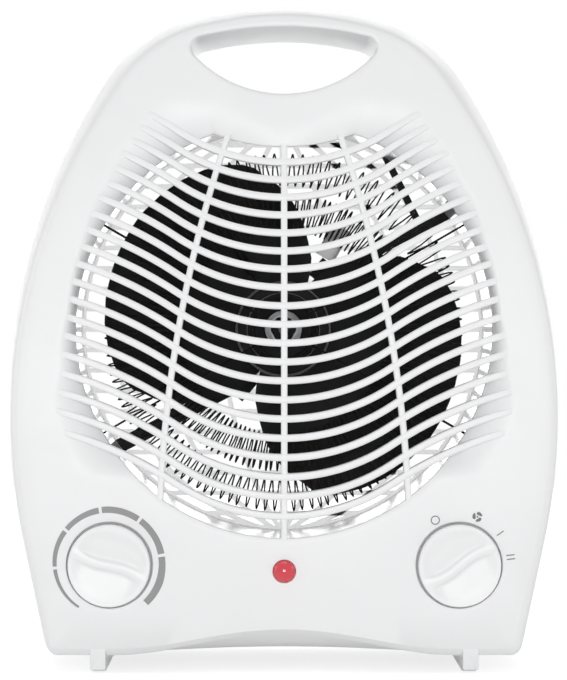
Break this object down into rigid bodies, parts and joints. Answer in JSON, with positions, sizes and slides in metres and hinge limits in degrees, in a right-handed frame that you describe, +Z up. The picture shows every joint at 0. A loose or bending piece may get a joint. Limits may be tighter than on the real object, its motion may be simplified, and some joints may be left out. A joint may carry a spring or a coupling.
{
  "type": "fan convector heater",
  "caption": "Free-standing electric fan heater in a two-shell plastic casing, with a carry handle, curved front grille, axial fan and two control knobs.",
  "frame": {"origin": "middle of the footprint, on the surface the feet stand on", "axes": "+Z up, +X to the right seen from the front, the front with the knobs faces -Y"},
  "size_m": [0.219, 0.116, 0.262],
  "materials": {
    "casing_plastic": "satin moulded ABS, white",
    "knob_plastic": "satin moulded ABS, white",
    "inner_plastic": "plain moulded plastic",
    "red_lens": "glossy clear red",
    "neon_glass": "clear glass bulb",
    "screw_steel": "zinc plated",
    "spindle_steel": "turned",
    "ceramic": "steatite ceramic",
    "contact_brass": "plain strip",
    "black_plastic": "moulded phenolic",
    "mica": "pressed mica sheet",
    "heating_wire": "resistance wire",
    "fuse_metal": "drawn can",
    "black_steel": "black paint",
    "core_steel": "punched laminations",
    "winding_copper": "enamelled wire",
    "bracket_steel": "zinc plated",
    "bearing_bronze": "sintered bronze",
    "rotor_aluminium": "die cast cage",
    "fan_plastic": "moulded black plastic",
    "nut_chrome": "polished"
  },
  "bodies": {
    "heater": {"front_casing": "casing_plastic", "rear_casing": "casing_plastic", "front_grille": "casing_plastic", "rear_grille": "casing_plastic", "foot_left": "casing_plastic", "foot_right": "casing_plastic", "indicator_lens": "red_lens", "indicator_lamp": "neon_glass", "casing_screws": "screw_steel", "control_plate": "inner_plastic", "thermostat_body": "ceramic", "thermostat_nut": "spindle_steel", "thermostat_bimetal": "contact_brass", "switch_body": "black_plastic", "switch_nut": "spindle_steel", "switch_terminals": "contact_brass", "air_duct": "inner_plastic", "mica_boards": "mica", "outer_coil": "heating_wire", "inner_coil": "heating_wire", "thermal_cutout": "ceramic", "thermal_fuse": "fuse_metal", "motor_support": "black_steel", "motor_core": "core_steel", "motor_winding": "winding_copper", "motor_front_bracket": "bracket_steel", "motor_rear_bracket": "bracket_steel", "motor_bearings": "bearing_bronze", "motor_screws": "screw_steel"},
    "fan_rotor": {"rotor": "rotor_aluminium", "motor_shaft": "spindle_steel", "fan": "fan_plastic", "fan_nut": "nut_chrome"},
    "thermostat_dial": {"thermostat_knob": "knob_plastic", "thermostat_spindle": "spindle_steel"},
    "switch_dial": {"switch_knob": "knob_plastic", "switch_spindle": "spindle_steel"}
  },
  "joints": [
    {"name": "fan_spin", "type": "hinge", "parent": "heater", "child": "fan_rotor", "pos_m": [0, 0, 0.134], "axis": [0, 1, 0], "continuous": true},
    {"name": "thermostat_turn", "type": "hinge", "parent": "heater", "child": "thermostat_dial", "pos_m": [-0.0678, 0, 0.0423], "axis": [0, 1, 0], "range_deg": [-260, 22]},
    {"name": "switch_turn", "type": "hinge", "parent": "heater", "child": "switch_dial", "pos_m": [0.0678, 0, 0.0423], "axis": [0, 1, 0], "range_deg": [-91, 18]}
  ]
}
